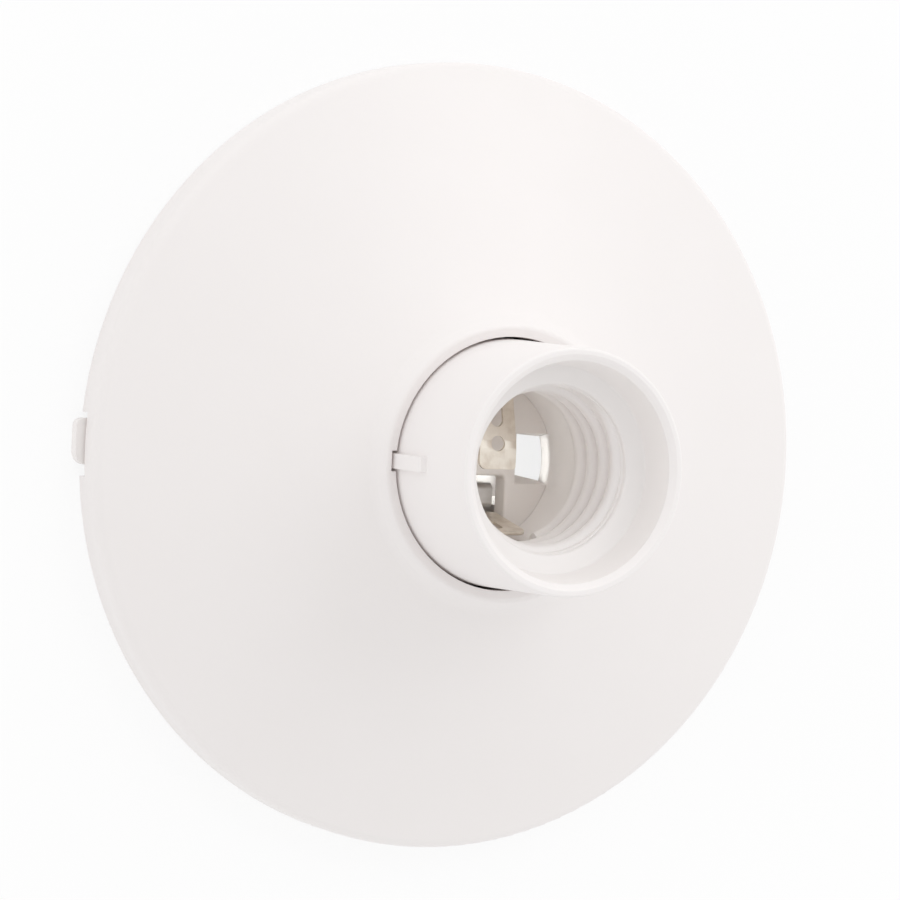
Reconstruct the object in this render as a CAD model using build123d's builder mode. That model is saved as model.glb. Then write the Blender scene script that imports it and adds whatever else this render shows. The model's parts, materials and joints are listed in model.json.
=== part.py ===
from build123d import *
from math import cos, radians, sin, sqrt, tan
import os

os.makedirs("parts", exist_ok=True)

# A batten lamp holder for a 27 mm screw cap lamp, in millimetres.
# The origin is the centre of the back, which lies on the ceiling or wall.
# +Z is the lamp's axis, out of the front. The key of the barrel is on -X.

# The dish shaped cover
dish_radius = 65.0
dish_wall = 2.0
rim_headroom = 2.0
rim_round = 2.2
rim_inner_round = 1.2
collar_height = 24.0
collar_stand = 1.76
collar_crest_width = 1.65
collar_lead_in = 0.4
collar_foot_width = 3.5
crest_round = 0.9
foot_round = 4.0
collar_sleeve_wall = 1.9
collar_sleeve_length = 6.5
gusset_count = 6
gusset_thickness = 1.2
gusset_reach = 12.0
rim_notch_width = 10.2
rim_notch_height = 2.1
rim_notch_offset = 0.2

# The base plate
base_thickness = 2.2
base_wall = 1.6
base_wall_height = 1.6
tab_width = 7.4
tab_offset = 0.65
tab_thickness = 1.7
tab_reach = 1.4
tab_upper_corner = 1.3
tab_lower_corner = 2.0
fixing_spacing = 84.0
fixing_slot_length = 10.0
fixing_slot_radius = 2.3
fixing_pad_height = 0.8
fixing_pad_border = 2.6
entry_near = 12.0
entry_far = 36.0
entry_width = 26.0
entry_corner = 5.0
grip_pad_width = 10.0
grip_pad_angles = (60, 120, 240, 300)

# The barrel and its front bore, with depths measured from the front
barrel_height = 45.2
barrel_draft = 1.2
barrel_wall = 1.9
barrel_wall_gain = 0.4
lip_width = 1.05
lip_bevel_width = 1.0
lip_bevel_depth = 0.8
lip_round = 0.45
bore_ring = 2.02
bore_depth = 6.6
shoulder_width = 3.1
shoulder_fall = 0.9
shoulder_web = 2.6
flange_width = 4.2
flange_thickness = 2.2
key_width = 2.4
key_stand = 0.85
key_setback = 12.4
key_ramp = 0.2
key_overrun = 1.1

# The thread for the lamp's cap, and the chamber behind it
thread_major_radius = 13.3
thread_depth = 1.1
thread_pitch = 3.63
thread_turns = 3.67
thread_top_gap = 1.95
thread_end_angle = 60
thread_run_out = 1 / 6
thread_points_per_turn = 12
ridge_round = 1.25
mouth_step = 0.2
mouth_land = 0.35
threaded_depth = 16.7
chamber_step = 0.3
chamber_taper = 1.0
chamber_depth = 7.9
sleeve_wall = 2.0
sleeve_overlap = 3.1

# The contact carrier
carrier_plate = 3.3
carrier_skirt_wall = 1.8
carrier_skirt_angle = 60
carrier_post_length = 3.6
carrier_post_width = 1.8
carrier_post_angles = (-45, 45)
window_reach = 6.65
window_front = (-3.75, 4.6)
window_back = (-2.1, 4.45)
window_back_slope = (-10.6, -3.9)
pocket_border = 3.3
pocket_length = 7.8
pocket_half_width = 5.3
pocket_corner = 0.8
pocket_edge_round = 0.5

# The sprung contacts and the straps that feed them
spring_thickness = 0.5
spring_bend = 0.9
leg_depth = 3.7
centre_width = 6.7
centre_wall_gap = 0.9
centre_leg_rise = 4.0
centre_tip_rise = 6.4
centre_bend_place = 2.8
centre_tip_end = -1.1
centre_tip_corners = (1.3, 0.5)
centre_hole_place = 3.1
centre_hole_radius = 1.25
centre_slot_width = 2.4
centre_slot_length = 4.0
centre_slot_setback = 2.65
side_width = 8.2
side_leg_drop = 0.3
side_tip_rise = 10.9
side_lean = 2.4
side_corner = 2.3
side_slot_width = 1.6
side_slot_length = 4.2
side_slot_rise = 6.5
strap_thickness = 0.8
strap_width = 5.0
strap_bend = 0.9
cage_half_width = 4.7
cage_length = 4.36
cage_drop = 3.1
rivet_radius = 1.2
rivet_head_radius = 2.1
rivet_head_height = 0.8
centre_rivet_gap = 5.6
side_rivet_gap = 4.4

# The terminals
terminal_angles = {"active": 90, "neutral": 270, "loop": 150, "earth": 210}
strapped_terminals = ("active", "neutral")
terminal_width = 7.0
terminal_length = 8.0
terminal_height = 8.0
tunnel_radius = 1.7
tunnel_height = 3.0
housing_wall = 1.3
housing_height = 6.5
clamp_gap = 0.6

# The screws
screw_radius = 1.25
screw_head_radius = 2.4
screw_head_height = 1.8
screw_slot_width = 0.6
screw_slot_depth = 0.9
screw_slot_turn = 30
screw_cross_turn = 70
barrel_screw_angles = {"left": 120, "right": 300}
barrel_screw_stand = 2.83
barrel_boss_radius = 3.4
barrel_boss_height = 7.0
carrier_screw_gap = 4.85
carrier_boss_radius = 2.7
screw_length = 7.4
head_recess = 0.3
sink_angle = 90

# Clearances between the pieces
collar_clearance = 0.45
collar_notch_clearance = 0.45
rim_clearance = 0.8
grip_clearance = 0.25
carrier_clearance = 0.15
shank_clearance = 0.05
terminal_clearance = 0.2
flange_clearance = 0.73
slot_clearance = 0.45
strap_clearance = 0.5
cage_clearance = 1.34
side_leg_clearance = 0.4
head_clearance = 0.3
sink_clearance = 0.05
spring_channel_clearance = 1.0
spring_channel_depth = 1.3
spring_channel_headroom = 2.0
tolerance = 0.001

# Radii inside the barrel follow from the thread
mouth_radius = thread_major_radius + mouth_step
chamber_radius = thread_major_radius + chamber_step
sleeve_radius = chamber_radius + sleeve_wall
shoulder_radius = mouth_radius + shoulder_width
lip_bore_radius = shoulder_radius + bore_ring
barrel_front_radius = lip_bore_radius + lip_width

# Heights inside the barrel follow from its front
shoulder_height = barrel_height - bore_depth
mouth_height = shoulder_height - shoulder_fall
chamber_height = mouth_height - threaded_depth
carrier_face = chamber_height - chamber_depth
carrier_under = carrier_face - carrier_plate
sleeve_bottom = carrier_face - sleeve_overlap
leg_end_height = carrier_face - leg_depth


def barrel_radius(height):
    """Outside radius of the drafted barrel at a height."""
    return barrel_front_radius + (barrel_height - height) * tan(radians(barrel_draft))


def corner(sketch, across, up):
    """The corner of a section nearest to a place in it."""
    return sketch.vertices().sort_by_distance((across, up))[0]


def turned(angle, height=0.0):
    """A level plane whose X axis points outwards at an angle."""
    return Plane.XY.offset(height).rotated((0, 0, angle))


def upright(angle, place=(0, 0, 0)):
    """An upright plane through a place, whose X axis points outwards at an angle."""
    outwards = Vector(cos(radians(angle)), sin(radians(angle)), 0)
    return Plane(origin=place, x_dir=outwards, z_dir=outwards.cross(Vector(0, 0, 1)))


rim_edge_height = base_thickness + base_wall_height + rim_headroom
collar_bore = barrel_radius(collar_height) + collar_clearance
collar_crest_radius = collar_bore + collar_crest_width
collar_foot_radius = collar_bore + collar_foot_width
collar_sleeve_radius = collar_bore + collar_sleeve_wall
collar_sleeve_end = collar_height - collar_sleeve_length
cone_rise = (collar_height - collar_stand - rim_edge_height) / (dish_radius - collar_foot_radius)
rim_inner_radius = dish_radius - dish_wall


def dish_outside(radius):
    """Height of the cone's outer face."""
    return rim_edge_height + cone_rise * (dish_radius - radius)


def dish_inside(radius):
    """Height of the cone's inner face."""
    return dish_outside(radius) - dish_wall * sqrt(1 + cone_rise**2)


# The cover is one moulding: a shallow cone with a rim, a collar and a guide sleeve
with BuildPart() as cover_dish:
    with BuildSketch(Plane.XZ) as dish_section:
        with BuildLine():
            Polyline(
                (dish_radius, 0),
                (dish_radius, rim_edge_height),
                (collar_foot_radius, dish_outside(collar_foot_radius)),
                (collar_crest_radius, collar_height),
                (collar_bore, collar_height - collar_lead_in),
                (collar_bore, collar_sleeve_end),
                (collar_sleeve_radius, collar_sleeve_end),
                (collar_sleeve_radius, dish_inside(collar_sleeve_radius)),
                (rim_inner_radius, dish_inside(rim_inner_radius)),
                (rim_inner_radius, 0),
                close=True,
            )
        make_face()
        fillet(corner(dish_section, dish_radius, rim_edge_height), rim_round)
        fillet(corner(dish_section, collar_foot_radius, dish_outside(collar_foot_radius)), foot_round)
        fillet(corner(dish_section, collar_crest_radius, collar_height), crest_round)
        fillet(corner(dish_section, rim_inner_radius, dish_inside(rim_inner_radius)), rim_inner_round)
    revolve(axis=Axis.Z)

    # Gussets stiffen the sleeve under the cone, clear of the key at 180 degrees
    for gusset in range(gusset_count):
        gusset_angle = (gusset + 0.5) * 360 / gusset_count
        gusset_end = collar_sleeve_radius + gusset_reach
        gusset_start = collar_sleeve_radius - collar_sleeve_wall / 2
        with BuildSketch(upright(gusset_angle)):
            with BuildLine():
                Polyline(
                    (gusset_start, collar_sleeve_end),
                    (collar_sleeve_radius, collar_sleeve_end),
                    (gusset_end, dish_inside(gusset_end)),
                    (gusset_end, dish_inside(gusset_end) + dish_wall / 2),
                    (gusset_start, dish_outside(collar_sleeve_radius) - dish_wall),
                    close=True,
                )
            make_face()
        extrude(amount=gusset_thickness / 2, both=True)

    # The collar's notch slides over the barrel's key
    with BuildSketch(Plane.XY.offset(collar_sleeve_end)):
        Rectangle(collar_bore + key_stand, key_width + 2 * collar_notch_clearance,
                  align=(Align.MAX, Align.CENTER))
    extrude(amount=collar_sleeve_length, mode=Mode.SUBTRACT)

    # The rim's notch lets the base plate's tab out
    with BuildSketch():
        with Locations((0, rim_notch_offset)):
            Rectangle(dish_radius + dish_wall, rim_notch_width, align=(Align.MAX, Align.CENTER))
    extrude(amount=rim_notch_height, mode=Mode.SUBTRACT)
cover_dish.part.label = "cover_dish"
export_step(cover_dish.part, "parts/cover_dish.step")

# The base plate carries everything else
base_radius = rim_inner_radius - rim_clearance
barrel_base = base_thickness
flange_radius = barrel_radius(barrel_base) + flange_width
wall_place = terminal_length / 2 + terminal_clearance + housing_wall / 2
terminal_circle = flange_radius + flange_clearance + wall_place + housing_wall / 2
terminal_seat = base_thickness + strap_thickness
terminal_top = terminal_seat + terminal_height
barrel_screw_circle = barrel_radius(barrel_base) + barrel_screw_stand
carrier_radius = chamber_radius - carrier_clearance
carrier_screw_place = -carrier_radius + carrier_screw_gap
pocket_bottom = -chamber_radius + pocket_border
pocket_top = pocket_bottom + pocket_length
cage_near = pocket_top - cage_clearance
cage_far = cage_near - cage_length
side_rivet_place = cage_far - side_rivet_gap
sink_radius = screw_head_radius + head_recess + sink_clearance
screw_hole_radius = screw_radius + head_clearance
with BuildPart() as base_plate:
    with BuildSketch():
        Circle(base_radius)
    extrude(amount=base_thickness)
    with BuildSketch(Plane.XY.offset(base_thickness)):
        Circle(base_radius)
        Circle(base_radius - base_wall, mode=Mode.SUBTRACT)
    extrude(amount=base_wall_height)

    # The lever tab that shows in the rim's notch
    tab_end = dish_radius + tab_reach
    with BuildSketch() as tab_outline:
        with Locations((-tab_end, tab_offset)):
            Rectangle(tab_end - base_radius + base_wall, tab_width, align=(Align.MIN, Align.CENTER))
        fillet(corner(tab_outline, -tab_end, tab_offset + tab_width / 2), tab_upper_corner)
        fillet(corner(tab_outline, -tab_end, tab_offset - tab_width / 2), tab_lower_corner)
    extrude(amount=tab_thickness)

    # Pads grip the inside of the cover's rim
    for pad_angle in grip_pad_angles:
        with BuildSketch(turned(pad_angle)):
            with Locations((base_radius - base_wall / 2, 0)):
                Rectangle(rim_inner_radius - grip_clearance - base_radius + base_wall / 2, grip_pad_width,
                          align=(Align.MIN, Align.CENTER))
        extrude(amount=base_thickness + base_wall_height)

    # Walls hold each terminal block, front and back
    for terminal_angle in terminal_angles.values():
        with BuildSketch(turned(terminal_angle, base_thickness)):
            with Locations((terminal_circle - wall_place, 0), (terminal_circle + wall_place, 0)):
                Rectangle(housing_wall, terminal_width + 2 * housing_wall)
        extrude(amount=housing_height)
        with BuildSketch(turned(terminal_angle, base_thickness)):
            with Locations((terminal_circle - wall_place, 0)):
                Rectangle(2 * housing_wall, strap_width + 2 * strap_clearance)
        extrude(amount=strap_thickness + strap_clearance, mode=Mode.SUBTRACT)

    # Pads and slots for the fixing screws
    with BuildSketch(Plane.XY.offset(base_thickness)):
        with Locations((0, fixing_spacing / 2), (0, -fixing_spacing / 2)):
            SlotOverall(
                fixing_slot_length + 2 * fixing_pad_border,
                2 * (fixing_slot_radius + fixing_pad_border),
                rotation=90,
            )
        Circle(terminal_circle + wall_place + housing_wall / 2, mode=Mode.SUBTRACT)
    extrude(amount=fixing_pad_height)
    with BuildSketch():
        with Locations((0, fixing_spacing / 2), (0, -fixing_spacing / 2)):
            SlotOverall(fixing_slot_length, 2 * fixing_slot_radius, rotation=90)
    extrude(amount=base_thickness + fixing_pad_height, mode=Mode.SUBTRACT)

    # The cable entry, which is also seen through the lamp holder
    with BuildSketch():
        with Locations(((entry_near + entry_far) / 2, 0)):
            RectangleRounded(entry_far - entry_near, entry_width, entry_corner)
    extrude(amount=base_thickness, mode=Mode.SUBTRACT)

    # Countersunk holes for the screws that come from the back
    for screw_angle in barrel_screw_angles.values():
        with Locations(turned(screw_angle) * Location((barrel_screw_circle, 0, 0), (180, 0, 0))):
            CounterSinkHole(screw_hole_radius, sink_radius, 2 * base_thickness, counter_sink_angle=sink_angle)
    with Locations(Location((carrier_screw_place, 0, 0), (180, 0, 0))):
        CounterSinkHole(screw_hole_radius, sink_radius, 2 * base_thickness, counter_sink_angle=sink_angle)
    with Locations(Location((0, side_rivet_place, 0), (180, 0, 0))):
        CounterBoreHole(rivet_radius + shank_clearance, rivet_head_radius + sink_clearance, rivet_head_height,
                        depth=2 * base_thickness)
base_plate.part.label = "base_plate"
export_step(base_plate.part, "parts/base_plate.step")

# The barrel is one moulding: a drafted tube, a web, and a threaded sleeve inside
barrel_inner_base = barrel_radius(barrel_base) - barrel_wall
barrel_inner_top = barrel_radius(shoulder_height) - barrel_wall - barrel_wall_gain
web_height = mouth_height - shoulder_web
land_end = mouth_height - lip_round - mouth_land
with BuildPart() as lamp_barrel:
    with BuildSketch(Plane.XZ) as barrel_section:
        with BuildLine():
            Polyline(
                (flange_radius, barrel_base),
                (flange_radius, barrel_base + flange_thickness),
                (barrel_radius(barrel_base + flange_thickness), barrel_base + flange_thickness),
                (barrel_front_radius, barrel_height),
                (lip_bore_radius, barrel_height),
                (lip_bore_radius - lip_bevel_width, barrel_height - lip_bevel_depth),
                (shoulder_radius, shoulder_height),
                (mouth_radius, mouth_height),
                (mouth_radius, land_end),
                (thread_major_radius, land_end - mouth_step),
                (thread_major_radius, chamber_height + chamber_taper),
                (chamber_radius, chamber_height),
                (chamber_radius, sleeve_bottom),
                (sleeve_radius, sleeve_bottom),
                (sleeve_radius, web_height),
                (barrel_inner_top, web_height),
                (barrel_inner_base, barrel_base),
                close=True,
            )
        make_face()
        fillet(corner(barrel_section, barrel_front_radius, barrel_height), lip_round)
        fillet(corner(barrel_section, lip_bore_radius, barrel_height), lip_round / 2)
        fillet(corner(barrel_section, mouth_radius, mouth_height), lip_round)
        fillet(corner(barrel_section, shoulder_radius, shoulder_height), lip_round)
    revolve(axis=Axis.Z)

    # One rounded ridge winds down the sleeve and sinks into its wall at both ends
    ridge_points = []
    for step in range(round(thread_turns * thread_points_per_turn) + 1):
        turns = step / thread_points_per_turn
        sunk = max(0, 1 - turns / thread_run_out, 1 - (thread_turns - turns) / thread_run_out)
        reach = thread_major_radius - thread_depth + ridge_round * (1 + sunk**2)
        bearing = radians(thread_end_angle - 360 * turns)
        height = mouth_height - thread_top_gap - thread_pitch * turns
        ridge_points.append((reach * cos(bearing), reach * sin(bearing), height))
    with BuildLine():
        ridge_path = Spline(*ridge_points)
    with BuildSketch(Plane(origin=ridge_path @ 0, z_dir=ridge_path % 0)):
        Circle(ridge_round)
    sweep(is_frenet=True)

    # The side contact springs outwards into a channel of the sleeve
    spring_channel_top = carrier_face + side_tip_rise + spring_channel_headroom
    with BuildSketch(Plane.XY.offset(sleeve_bottom)):
        Rectangle(side_width + 2 * spring_channel_clearance, chamber_radius + spring_channel_depth,
                  align=(Align.CENTER, Align.MAX))
    extrude(amount=spring_channel_top - sleeve_bottom, mode=Mode.SUBTRACT)

    # Bosses for the two screws
    for screw_angle in barrel_screw_angles.values():
        with BuildSketch(turned(screw_angle, barrel_base)):
            with Locations((barrel_screw_circle, 0)):
                Circle(barrel_boss_radius)
            Circle(barrel_radius(barrel_base) - barrel_wall / 2, mode=Mode.SUBTRACT)
        extrude(amount=barrel_boss_height)
        with BuildSketch(turned(screw_angle, barrel_base)):
            with Locations((barrel_screw_circle, 0)):
                Circle(screw_radius + shank_clearance)
        extrude(amount=screw_length - barrel_base + clamp_gap, mode=Mode.SUBTRACT)

    # The straps leave under the wall
    with BuildSketch(Plane.XY.offset(barrel_base)):
        Rectangle(strap_width + 2 * strap_clearance, 2 * flange_radius)
        Circle(sleeve_radius, mode=Mode.SUBTRACT)
    extrude(amount=strap_thickness + strap_clearance, mode=Mode.SUBTRACT)

    # The key that lines up the cover
    key_back = collar_sleeve_end - key_overrun
    key_front = barrel_height - key_setback
    with BuildSketch(Plane.XZ):
        with BuildLine():
            Polyline(
                (-barrel_radius(key_back) + barrel_wall / 2, key_back),
                (-barrel_radius(key_back) - key_stand, key_back),
                (-barrel_radius(key_front) - key_stand, key_front - key_ramp),
                (-barrel_radius(key_front), key_front),
                (-barrel_radius(key_front) + barrel_wall / 2, key_front),
                close=True,
            )
        make_face()
    extrude(amount=key_width / 2, both=True)
lamp_barrel.part.label = "lamp_barrel"
export_step(lamp_barrel.part, "parts/lamp_barrel.step")

# The carrier fills the sleeve's back end and holds both contacts
centre_leg_place = chamber_radius - centre_wall_gap - spring_thickness / 2
centre_slot_inner = centre_leg_place - spring_thickness / 2 - slot_clearance
centre_rivet_place = chamber_radius - centre_rivet_gap
with BuildPart() as contact_carrier:
    with BuildSketch(Plane.XY.offset(carrier_under)):
        Circle(carrier_radius)
    extrude(amount=carrier_plate)

    # A half ring, two posts and a screw boss stand on the base plate
    with BuildSketch(Plane.XY.offset(base_thickness)):
        Circle(carrier_radius)
        Circle(carrier_radius - carrier_skirt_wall, mode=Mode.SUBTRACT)
        with Locations((-carrier_radius * cos(radians(carrier_skirt_angle)), 0)):
            Rectangle(2 * carrier_radius, 4 * carrier_radius, align=(Align.MIN, Align.CENTER),
                      mode=Mode.SUBTRACT)
    extrude(amount=carrier_under - base_thickness)
    for post_angle in carrier_post_angles:
        with BuildSketch(turned(post_angle, base_thickness)):
            with Locations((carrier_radius, 0)):
                Rectangle(carrier_post_length, carrier_post_width, align=(Align.MAX, Align.CENTER))
        extrude(amount=carrier_under - base_thickness)
    with BuildSketch(Plane.XY.offset(base_thickness)):
        with Locations((carrier_screw_place, 0)):
            Circle(carrier_boss_radius)
            Rectangle(carrier_radius + carrier_screw_place - carrier_skirt_wall / 2, carrier_skirt_wall,
                      align=(Align.MAX, Align.CENTER))
    extrude(amount=carrier_under - base_thickness)
    with BuildSketch(Plane.XY.offset(base_thickness)):
        with Locations((carrier_screw_place, 0)):
            Circle(screw_radius + shank_clearance)
    extrude(amount=screw_length - base_thickness + clamp_gap, mode=Mode.SUBTRACT)

    # The window beside the contacts, open at the sleeve's wall, with ledges that lean in towards the back
    window_left = chamber_radius - window_reach
    window_right = window_left + carrier_radius
    for level, ends, slopes in (
        (carrier_face, window_front, (0, 0)),
        (carrier_under, window_back, window_back_slope),
    ):
        bottom, top = ends
        bottom_drop, top_drop = (carrier_radius * tan(radians(slope)) for slope in slopes)
        with BuildSketch(Plane.XY.offset(level)):
            Polygon(
                (window_left, bottom),
                (window_right, bottom + bottom_drop),
                (window_right, top + top_drop),
                (window_left, top),
                align=None,
            )
    loft(ruled=True, mode=Mode.SUBTRACT)

    # The pocket that the side contact and its strap stand in
    with BuildSketch(Plane.XY.offset(carrier_under)):
        with Locations((0, (pocket_top + pocket_bottom) / 2)):
            RectangleRounded(2 * pocket_half_width, pocket_top - pocket_bottom, pocket_corner)
    extrude(amount=carrier_plate, mode=Mode.SUBTRACT)
    pocket_edge = (
        contact_carrier.faces().sort_by(Axis.Z)[-1].inner_wires().sort_by_distance((0, pocket_top))[0].edges()
    )
    fillet(pocket_edge, pocket_edge_round)

    # The slot that the centre contact's leg stands in
    with BuildSketch(Plane.XY.offset(carrier_under)):
        with Locations((0, centre_slot_inner)):
            Rectangle(centre_width + 2 * slot_clearance, carrier_radius, align=(Align.CENTER, Align.MIN))
    extrude(amount=carrier_plate, mode=Mode.SUBTRACT)
    with BuildSketch(Plane.XY.offset(carrier_under)):
        with Locations((0, centre_rivet_place)):
            Circle(rivet_radius + shank_clearance)
    extrude(amount=carrier_plate, mode=Mode.SUBTRACT)
contact_carrier.part.label = "contact_carrier"
export_step(contact_carrier.part, "parts/contact_carrier.step")

# The centre contact is a folded spring strip: a leg, an arm and a level tip
centre_leg_height = carrier_face + centre_leg_rise
centre_tip_height = carrier_face + centre_tip_rise
centre_slot_place = centre_leg_place - centre_slot_setback - centre_slot_length / 2
with BuildPart() as centre_contact:
    with BuildSketch(Plane.YZ):
        with BuildLine():
            FilletPolyline(
                (centre_leg_place, leg_end_height),
                (centre_leg_place, centre_leg_height),
                (centre_bend_place, centre_tip_height),
                (centre_tip_end, centre_tip_height),
                radius=spring_bend,
            )
        trace(line_width=spring_thickness)
    extrude(amount=centre_width / 2, both=True)
    tip_edges = centre_contact.edges().filter_by(Axis.Z).group_by(Axis.Y)[0].sort_by(Axis.X)
    for edge, corner in zip(tip_edges, centre_tip_corners):
        fillet(edge, corner)
    with BuildSketch(Plane.XY.offset(centre_leg_height - spring_bend)):
        with Locations((0, centre_hole_place)):
            Circle(centre_hole_radius)
        with Locations((0, centre_slot_place)):
            SlotOverall(centre_slot_length, centre_slot_width, rotation=90)
    extrude(amount=centre_tip_height - centre_leg_height + 2 * spring_bend, mode=Mode.SUBTRACT)
centre_contact.part.label = "centre_contact"
export_step(centre_contact.part, "parts/centre_contact.step")

# The side contact is a slotted tongue that leans towards the sleeve's wall
side_leg_place = cage_far - side_leg_clearance - spring_thickness / 2
side_tip_place = side_leg_place - side_lean
with BuildPart() as side_contact:
    with BuildSketch(Plane.YZ):
        with BuildLine():
            FilletPolyline(
                (side_leg_place, leg_end_height),
                (side_leg_place, carrier_face - side_leg_drop),
                (side_tip_place, carrier_face + side_tip_rise),
                radius=spring_bend,
            )
        trace(line_width=spring_thickness)
    extrude(amount=side_width / 2, both=True)
    short_edges = side_contact.edges().filter_by(lambda edge: abs(edge.length - spring_thickness) < tolerance)
    fillet(short_edges.group_by(Axis.Z)[-1], side_corner)
    with BuildSketch(Plane.XZ):
        with Locations((0, carrier_face + side_slot_rise)):
            SlotOverall(side_slot_length, side_slot_width, rotation=90)
    extrude(amount=chamber_radius, mode=Mode.SUBTRACT)
side_contact.part.label = "side_contact"
export_step(side_contact.part, "parts/side_contact.step")

# The centre strap runs from under the carrier, down and out to the active terminal
strap_middle = base_thickness + strap_thickness / 2
strap_end = terminal_circle + terminal_length / 2
centre_strap_level = carrier_under - strap_thickness / 2
centre_strap_start = centre_rivet_place - rivet_head_radius - strap_clearance
centre_strap_drop = centre_rivet_place + rivet_head_radius + strap_clearance + strap_thickness
with BuildPart() as centre_contact_strap:
    with BuildSketch(Plane.YZ):
        with BuildLine():
            FilletPolyline(
                (centre_strap_start, centre_strap_level),
                (centre_strap_drop, centre_strap_level),
                (centre_strap_drop, strap_middle),
                (strap_end, strap_middle),
                radius=strap_bend,
            )
        trace(line_width=strap_thickness)
    extrude(amount=strap_width / 2, both=True)
    with BuildSketch(Plane.XY.offset(carrier_under - strap_thickness)):
        with Locations((0, centre_rivet_place)):
            Circle(rivet_radius + shank_clearance)
    extrude(amount=strap_thickness, mode=Mode.SUBTRACT)
centre_contact_strap.part.label = "centre_contact_strap"
export_step(centre_contact_strap.part, "parts/centre_contact_strap.step")

# The side strap is folded into a cage in the carrier's pocket and runs out to the neutral terminal
cage_middle = carrier_face - cage_drop - strap_thickness / 2
with BuildPart() as side_contact_strap:
    with BuildSketch(Plane.YZ):
        with BuildLine():
            FilletPolyline(
                (cage_near - strap_thickness / 2, base_thickness),
                (cage_near - strap_thickness / 2, cage_middle),
                (cage_far + strap_thickness / 2, cage_middle),
                (cage_far + strap_thickness / 2, strap_middle),
                (side_rivet_place - rivet_head_radius, strap_middle),
                radius=strap_bend,
            )
        trace(line_width=strap_thickness)
    extrude(amount=cage_half_width, both=True)
    with BuildSketch(Plane.XY.offset(base_thickness)):
        with Locations((0, side_rivet_place)):
            Rectangle(strap_width, strap_end + side_rivet_place, align=(Align.CENTER, Align.MAX))
    extrude(amount=strap_thickness)
    with BuildSketch(Plane.XY.offset(base_thickness)):
        with Locations((0, side_rivet_place)):
            Circle(rivet_radius + shank_clearance)
    extrude(amount=strap_thickness, mode=Mode.SUBTRACT)
side_contact_strap.part.label = "side_contact_strap"
export_step(side_contact_strap.part, "parts/side_contact_strap.step")

# One rivet holds the centre strap up against the carrier
with BuildPart() as centre_strap_rivet:
    with BuildSketch(Plane.XY.offset(carrier_under - strap_thickness - rivet_head_height)):
        with Locations((0, centre_rivet_place)):
            Circle(rivet_head_radius)
    extrude(amount=rivet_head_height)
    with BuildSketch(Plane.XY.offset(carrier_under - strap_thickness)):
        with Locations((0, centre_rivet_place)):
            Circle(rivet_radius)
    extrude(amount=strap_thickness + carrier_plate)
    with BuildSketch(Plane.XY.offset(carrier_face)):
        with Locations((0, centre_rivet_place)):
            Circle(rivet_head_radius)
    extrude(amount=rivet_head_height)
    fillet(centre_strap_rivet.edges().group_by(Axis.Z)[-1], rivet_head_height / 2)
centre_strap_rivet.part.label = "centre_strap_rivet"
export_step(centre_strap_rivet.part, "parts/centre_strap_rivet.step")

# The other holds the side strap down on the base plate
with BuildPart() as side_strap_rivet:
    with BuildSketch():
        with Locations((0, side_rivet_place)):
            Circle(rivet_head_radius)
    extrude(amount=rivet_head_height)
    with BuildSketch(Plane.XY.offset(rivet_head_height)):
        with Locations((0, side_rivet_place)):
            Circle(rivet_radius)
    extrude(amount=terminal_seat - rivet_head_height)
    with BuildSketch(Plane.XY.offset(terminal_seat)):
        with Locations((0, side_rivet_place)):
            Circle(rivet_head_radius)
    extrude(amount=rivet_head_height)
    fillet(side_strap_rivet.edges().group_by(Axis.Z)[-1], rivet_head_height / 2)
side_strap_rivet.part.label = "side_strap_rivet"
export_step(side_strap_rivet.part, "parts/side_strap_rivet.step")

# Four brass terminals, each with a wire tunnel and a clamping screw
tunnel_axis_height = terminal_seat + tunnel_height
for terminal_name, terminal_angle in terminal_angles.items():
    block_bottom = terminal_seat if terminal_name in strapped_terminals else base_thickness
    with BuildPart() as terminal:
        with BuildSketch(turned(terminal_angle, block_bottom)):
            with Locations((terminal_circle, 0)):
                Rectangle(terminal_length, terminal_width)
        extrude(amount=terminal_top - block_bottom)
        chamfer(terminal.edges().filter_by(Axis.Z), terminal_clearance)
        tunnel_place = Location((terminal_circle, 0, 0), (90, 0, 0))
        with Locations(turned(terminal_angle, tunnel_axis_height) * tunnel_place):
            Hole(tunnel_radius)
        with Locations(turned(terminal_angle, terminal_top) * Location((terminal_circle, 0, 0))):
            Hole(screw_radius + shank_clearance, depth=terminal_top - tunnel_axis_height)
    terminal.part.label = f"{terminal_name}_terminal"
    export_step(terminal.part, f"parts/{terminal_name}_terminal.step")

    with BuildPart() as terminal_screw:
        screw_tip = tunnel_axis_height + tunnel_radius
        head_bottom = terminal_top + clamp_gap
        with BuildSketch(turned(terminal_angle, screw_tip)):
            with Locations((terminal_circle, 0)):
                Circle(screw_radius)
        extrude(amount=head_bottom - screw_tip)
        with BuildSketch(turned(terminal_angle, head_bottom)):
            with Locations((terminal_circle, 0)):
                Circle(screw_head_radius)
        extrude(amount=screw_head_height)
        chamfer(terminal_screw.edges().group_by(Axis.Z)[-1], screw_slot_width / 2)
        with BuildSketch(turned(terminal_angle, head_bottom + screw_head_height - screw_slot_depth)):
            with Locations((terminal_circle, 0)):
                Rectangle(2 * screw_head_radius, screw_slot_width, rotation=screw_slot_turn)
        extrude(amount=screw_slot_depth, mode=Mode.SUBTRACT)
        chamfer(terminal_screw.edges().group_by(Axis.Z)[0], screw_slot_width / 2)
    terminal_screw.part.label = f"{terminal_name}_terminal_screw"
    export_step(terminal_screw.part, f"parts/{terminal_name}_terminal_screw.step")

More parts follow.
